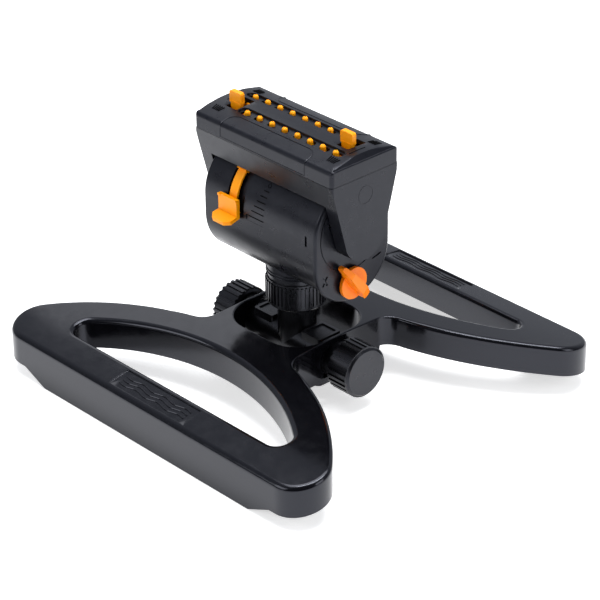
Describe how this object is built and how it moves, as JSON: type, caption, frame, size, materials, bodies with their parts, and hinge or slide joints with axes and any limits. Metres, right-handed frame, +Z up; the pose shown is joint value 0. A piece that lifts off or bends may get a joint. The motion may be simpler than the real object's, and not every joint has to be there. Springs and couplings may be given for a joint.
{
  "type": "oscillating sprinkler",
  "caption": "Oscillating lawn sprinkler: swinging head with tilting nozzles on a geared drum, range and width tabs, flow knob, tee pipe and arched sled base",
  "frame": {"origin": "middle of the base's footprint, on the ground", "axes": "+X along the pipe toward the end cap, +Y toward the back loop, +Z up"},
  "size_m": [0.2818, 0.262, 0.1857],
  "materials": {
    "black_gloss_plastic": "glossy injection moulded",
    "black_pipe_plastic": "satin",
    "charcoal_plastic": "satin, fine moulded texture",
    "black_grip_plastic": "satin ribbed",
    "orange_plastic": "smooth, slightly glossy",
    "orange_nozzle_rubber": "smooth soft rubber",
    "seal_rubber": "matte",
    "steel_screw": "brushed",
    "steel_mesh": "pressed",
    "white_acetal": "smooth",
    "grey_inner_plastic": "satin"
  },
  "bodies": {
    "base": {"sled_base": "black_gloss_plastic", "tee_manifold": "black_pipe_plastic", "pipe_clamp": "black_pipe_plastic", "clamp_screw_left": "steel_screw", "clamp_screw_right": "steel_screw", "hose_washer": "seal_rubber", "filter_screen": "steel_mesh", "riser_seal": "seal_rubber", "body_shell": "charcoal_plastic", "left_end_cover": "charcoal_plastic", "right_end_cover": "charcoal_plastic", "gear_plate": "charcoal_plastic", "turbine_case": "grey_inner_plastic", "gear_shaft_front": "steel_screw", "gear_shaft_back": "steel_screw", "valve_body": "grey_inner_plastic", "water_tube": "grey_inner_plastic"},
    "collar": {"collar_nut": "black_grip_plastic"},
    "hose_coupling": {"hose_nut": "black_grip_plastic"},
    "outlet_cap": {"end_cap": "black_grip_plastic", "cap_washer": "seal_rubber"},
    "knob": {"flow_knob": "orange_plastic", "valve_plug": "white_acetal", "knob_seal": "seal_rubber"},
    "front_tab": {"front_range_tab": "orange_plastic"},
    "rear_tab": {"rear_range_tab": "orange_plastic"},
    "gear_one": {"first_gear": "white_acetal"},
    "gear_two": {"second_gear": "white_acetal"},
    "turbine": {"turbine_rotor": "white_acetal"},
    "head": {"head_shell": "charcoal_plastic", "head_cap": "charcoal_plastic", "spray_manifold": "grey_inner_plastic", "manifold_floor": "grey_inner_plastic", "drive_gear": "grey_inner_plastic", "water_trunnion": "white_acetal", "trunnion_seal": "seal_rubber", "feed_duct": "grey_inner_plastic", "nozzle_front_4": "orange_nozzle_rubber", "nozzle_rear_5": "orange_nozzle_rubber"},
    "trip": {"trip_lever": "white_acetal"},
    "left_width": {"left_width_tab": "orange_plastic"},
    "right_width": {"right_width_tab": "orange_plastic"},
    "nozzle_front_1_body": {"nozzle_front_1": "orange_nozzle_rubber"},
    "nozzle_front_2_body": {"nozzle_front_2": "orange_nozzle_rubber"},
    "nozzle_front_3_body": {"nozzle_front_3": "orange_nozzle_rubber"},
    "nozzle_front_5_body": {"nozzle_front_5": "orange_nozzle_rubber"},
    "nozzle_front_6_body": {"nozzle_front_6": "orange_nozzle_rubber"},
    "nozzle_front_7_body": {"nozzle_front_7": "orange_nozzle_rubber"},
    "nozzle_front_8_body": {"nozzle_front_8": "orange_nozzle_rubber"},
    "nozzle_rear_1_body": {"nozzle_rear_1": "orange_nozzle_rubber"},
    "nozzle_rear_2_body": {"nozzle_rear_2": "orange_nozzle_rubber"},
    "nozzle_rear_3_body": {"nozzle_rear_3": "orange_nozzle_rubber"},
    "nozzle_rear_4_body": {"nozzle_rear_4": "orange_nozzle_rubber"},
    "nozzle_rear_6_body": {"nozzle_rear_6": "orange_nozzle_rubber"},
    "nozzle_rear_7_body": {"nozzle_rear_7": "orange_nozzle_rubber"},
    "nozzle_rear_8_body": {"nozzle_rear_8": "orange_nozzle_rubber"}
  },
  "joints": [
    {"name": "head_swing", "type": "hinge", "parent": "base", "child": "head", "pos_m": [0, 0, 0.122], "axis": [1, 0, 0], "range_deg": [-30, 30]},
    {"name": "front_range_slide", "type": "hinge", "parent": "base", "child": "front_tab", "pos_m": [-0.023, 0, 0.122], "axis": [1, 0, 0], "range_deg": [-25, 0]},
    {"name": "rear_range_slide", "type": "hinge", "parent": "base", "child": "rear_tab", "pos_m": [-0.023, 0, 0.122], "axis": [1, 0, 0], "range_deg": [0, 25]},
    {"name": "flow_knob_turn", "type": "hinge", "parent": "base", "child": "knob", "pos_m": [0.054, -0.0021, 0.0872], "axis": [1, 0, 0], "range_deg": [0, 55]},
    {"name": "collar_turn", "type": "hinge", "parent": "base", "child": "collar", "pos_m": [0, 0, 0.064], "axis": [0, 0, 1], "continuous": true},
    {"name": "hose_nut_turn", "type": "hinge", "parent": "base", "child": "hose_coupling", "pos_m": [-0.055, 0, 0.026], "axis": [1, 0, 0], "continuous": true},
    {"name": "end_cap_turn", "type": "hinge", "parent": "base", "child": "outlet_cap", "pos_m": [0.055, 0, 0.026], "axis": [1, 0, 0], "continuous": true},
    {"name": "first_gear_spin", "type": "hinge", "parent": "base", "child": "gear_one", "pos_m": [-0.04, -0.009, 0.10641], "axis": [1, 0, 0], "continuous": true},
    {"name": "second_gear_spin", "type": "hinge", "parent": "base", "child": "gear_two", "pos_m": [-0.037, 0.009, 0.10641], "axis": [1, 0, 0], "continuous": true},
    {"name": "turbine_spin", "type": "hinge", "parent": "base", "child": "turbine", "pos_m": [-0.025, -0.009, 0.10641], "axis": [1, 0, 0], "continuous": true},
    {"name": "trip_rock", "type": "hinge", "parent": "head", "child": "trip", "pos_m": [-0.02, 0, 0.1563], "axis": [1, 0, 0], "range_deg": [-8, 8]},
    {"name": "left_width_slide", "type": "slide", "parent": "head", "child": "left_width", "axis": [0, 1, 0], "range_m": [0, 0.008]},
    {"name": "right_width_slide", "type": "slide", "parent": "head", "child": "right_width", "axis": [0, 1, 0], "range_m": [0, 0.008]},
    {"name": "nozzle_front_1_tilt", "type": "hinge", "parent": "head", "child": "nozzle_front_1_body", "pos_m": [-0.03255, -0.0098, 0.163], "axis": [0, 1, 0], "range_deg": [-9.81, 0]},
    {"name": "nozzle_front_2_tilt", "type": "hinge", "parent": "head", "child": "nozzle_front_2_body", "pos_m": [-0.02125, -0.0098, 0.163], "axis": [0, 1, 0], "range_deg": [-6.41, 0]},
    {"name": "nozzle_front_3_tilt", "type": "hinge", "parent": "head", "child": "nozzle_front_3_body", "pos_m": [-0.00995, -0.0098, 0.163], "axis": [0, 1, 0], "range_deg": [-3.01, 0]},
    {"name": "nozzle_front_5_tilt", "type": "hinge", "parent": "head", "child": "nozzle_front_5_body", "pos_m": [0.01265, -0.0098, 0.163], "axis": [0, 1, 0], "range_deg": [0, 3.83]},
    {"name": "nozzle_front_6_tilt", "type": "hinge", "parent": "head", "child": "nozzle_front_6_body", "pos_m": [0.02395, -0.0098, 0.163], "axis": [0, 1, 0], "range_deg": [0, 7.22]},
    {"name": "nozzle_front_7_tilt", "type": "hinge", "parent": "head", "child": "nozzle_front_7_body", "pos_m": [0.03525, -0.0098, 0.163], "axis": [0, 1, 0], "range_deg": [0, 10.62]},
    {"name": "nozzle_front_8_tilt", "type": "hinge", "parent": "head", "child": "nozzle_front_8_body", "pos_m": [0.04655, -0.0098, 0.163], "axis": [0, 1, 0], "range_deg": [0, 14.02]},
    {"name": "nozzle_rear_1_tilt", "type": "hinge", "parent": "head", "child": "nozzle_rear_1_body", "pos_m": [-0.04655, 0.0098, 0.163], "axis": [0, 1, 0], "range_deg": [-14.02, 0]},
    {"name": "nozzle_rear_2_tilt", "type": "hinge", "parent": "head", "child": "nozzle_rear_2_body", "pos_m": [-0.03525, 0.0098, 0.163], "axis": [0, 1, 0], "range_deg": [-10.62, 0]},
    {"name": "nozzle_rear_3_tilt", "type": "hinge", "parent": "head", "child": "nozzle_rear_3_body", "pos_m": [-0.02395, 0.0098, 0.163], "axis": [0, 1, 0], "range_deg": [-7.22, 0]},
    {"name": "nozzle_rear_4_tilt", "type": "hinge", "parent": "head", "child": "nozzle_rear_4_body", "pos_m": [-0.01265, 0.0098, 0.163], "axis": [0, 1, 0], "range_deg": [-3.83, 0]},
    {"name": "nozzle_rear_6_tilt", "type": "hinge", "parent": "head", "child": "nozzle_rear_6_body", "pos_m": [0.00995, 0.0098, 0.163], "axis": [0, 1, 0], "range_deg": [0, 3.01]},
    {"name": "nozzle_rear_7_tilt", "type": "hinge", "parent": "head", "child": "nozzle_rear_7_body", "pos_m": [0.02125, 0.0098, 0.163], "axis": [0, 1, 0], "range_deg": [0, 6.41]},
    {"name": "nozzle_rear_8_tilt", "type": "hinge", "parent": "head", "child": "nozzle_rear_8_body", "pos_m": [0.03255, 0.0098, 0.163], "axis": [0, 1, 0], "range_deg": [0, 9.81]}
  ],
  "couplings": [
    {"joint": "first_gear_spin", "follows": "head_swing", "ratio": -3},
    {"joint": "second_gear_spin", "follows": "head_swing", "ratio": 9},
    {"joint": "turbine_spin", "follows": "head_swing", "ratio": -27},
    {"joint": "nozzle_front_1_tilt", "follows": "left_width_slide", "rad_per_m": -21.357},
    {"joint": "nozzle_front_2_tilt", "follows": "left_width_slide", "rad_per_m": -13.943},
    {"joint": "nozzle_front_3_tilt", "follows": "left_width_slide", "rad_per_m": -6.5286},
    {"joint": "nozzle_front_5_tilt", "follows": "right_width_slide", "rad_per_m": 8.3002},
    {"joint": "nozzle_front_6_tilt", "follows": "right_width_slide", "rad_per_m": 15.715},
    {"joint": "nozzle_front_7_tilt", "follows": "right_width_slide", "rad_per_m": 23.129},
    {"joint": "nozzle_front_8_tilt", "follows": "right_width_slide", "rad_per_m": 30.543},
    {"joint": "nozzle_rear_1_tilt", "follows": "left_width_slide", "rad_per_m": -30.543},
    {"joint": "nozzle_rear_2_tilt", "follows": "left_width_slide", "rad_per_m": -23.129},
    {"joint": "nozzle_rear_3_tilt", "follows": "left_width_slide", "rad_per_m": -15.715},
    {"joint": "nozzle_rear_4_tilt", "follows": "left_width_slide", "rad_per_m": -8.3002},
    {"joint": "nozzle_rear_6_tilt", "follows": "right_width_slide", "rad_per_m": 6.5286},
    {"joint": "nozzle_rear_7_tilt", "follows": "right_width_slide", "rad_per_m": 13.943},
    {"joint": "nozzle_rear_8_tilt", "follows": "right_width_slide", "rad_per_m": 21.357}
  ]
}
